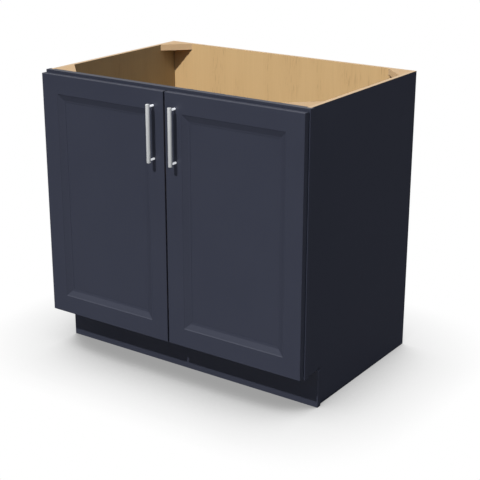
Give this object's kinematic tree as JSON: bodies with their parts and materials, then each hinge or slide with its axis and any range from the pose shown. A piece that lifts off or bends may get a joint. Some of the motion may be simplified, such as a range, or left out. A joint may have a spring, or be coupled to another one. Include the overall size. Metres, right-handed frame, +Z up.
{
  "type": "sink base cabinet",
  "caption": "Open-topped base cabinet that carries a worktop and sink, with hinged recessed-panel doors, bar handles, a face frame, corner gussets and a toe space.",
  "frame": {"origin": "on the floor, at the middle of the whole footprint, handles included", "axes": "+X to the right seen from the front, +Y from the doors to the back, +Z up"},
  "size_m": [0.9144, 0.6589, 0.8763],
  "materials": {
    "painted_wood": "satin dark blue-grey paint",
    "plywood": "clear-coated birch plywood; the side panels' outer faces are painted dark",
    "satin_nickel": "satin nickel",
    "hinge_steel": "nickel plated",
    "bumper": "clear soft plastic"
  },
  "bodies": {
    "carcass": {"face_frame_left_stile": "painted_wood", "face_frame_right_stile": "painted_wood", "face_frame_top_rail": "painted_wood", "face_frame_bottom_rail": "painted_wood", "left_side_panel": "plywood", "right_side_panel": "plywood", "cabinet_floor": "plywood", "back_panel": "plywood", "toe_kick_board": "painted_wood", "front_left_gusset": "plywood", "front_right_gusset": "plywood", "back_left_gusset": "plywood", "back_right_gusset": "plywood", "left_hinge_arms": "hinge_steel", "right_hinge_arms": "hinge_steel"},
    "left_door": {"left_door_hinge_stile": "painted_wood", "left_door_meeting_stile": "painted_wood", "left_door_top_rail": "painted_wood", "left_door_bottom_rail": "painted_wood", "left_door_panel": "painted_wood", "left_door_bumpers": "bumper", "left_handle_bar": "satin_nickel", "left_handle_posts": "satin_nickel", "left_hinge_cups": "hinge_steel", "left_hinge_pins": "hinge_steel"},
    "right_door": {"right_door_hinge_stile": "painted_wood", "right_door_meeting_stile": "painted_wood", "right_door_top_rail": "painted_wood", "right_door_bottom_rail": "painted_wood", "right_door_panel": "painted_wood", "right_door_bumpers": "bumper", "right_handle_bar": "satin_nickel", "right_handle_posts": "satin_nickel", "right_hinge_cups": "hinge_steel", "right_hinge_pins": "hinge_steel"}
  },
  "joints": [
    {"name": "left_door_swing", "type": "hinge", "parent": "carcass", "child": "left_door", "pos_m": [-0.4471, -0.28845, 0.49475], "axis": [0, 0, -1], "range_deg": [0, 105]},
    {"name": "right_door_swing", "type": "hinge", "parent": "carcass", "child": "right_door", "pos_m": [0.4471, -0.28845, 0.49475], "axis": [0, 0, 1], "range_deg": [0, 105]}
  ]
}
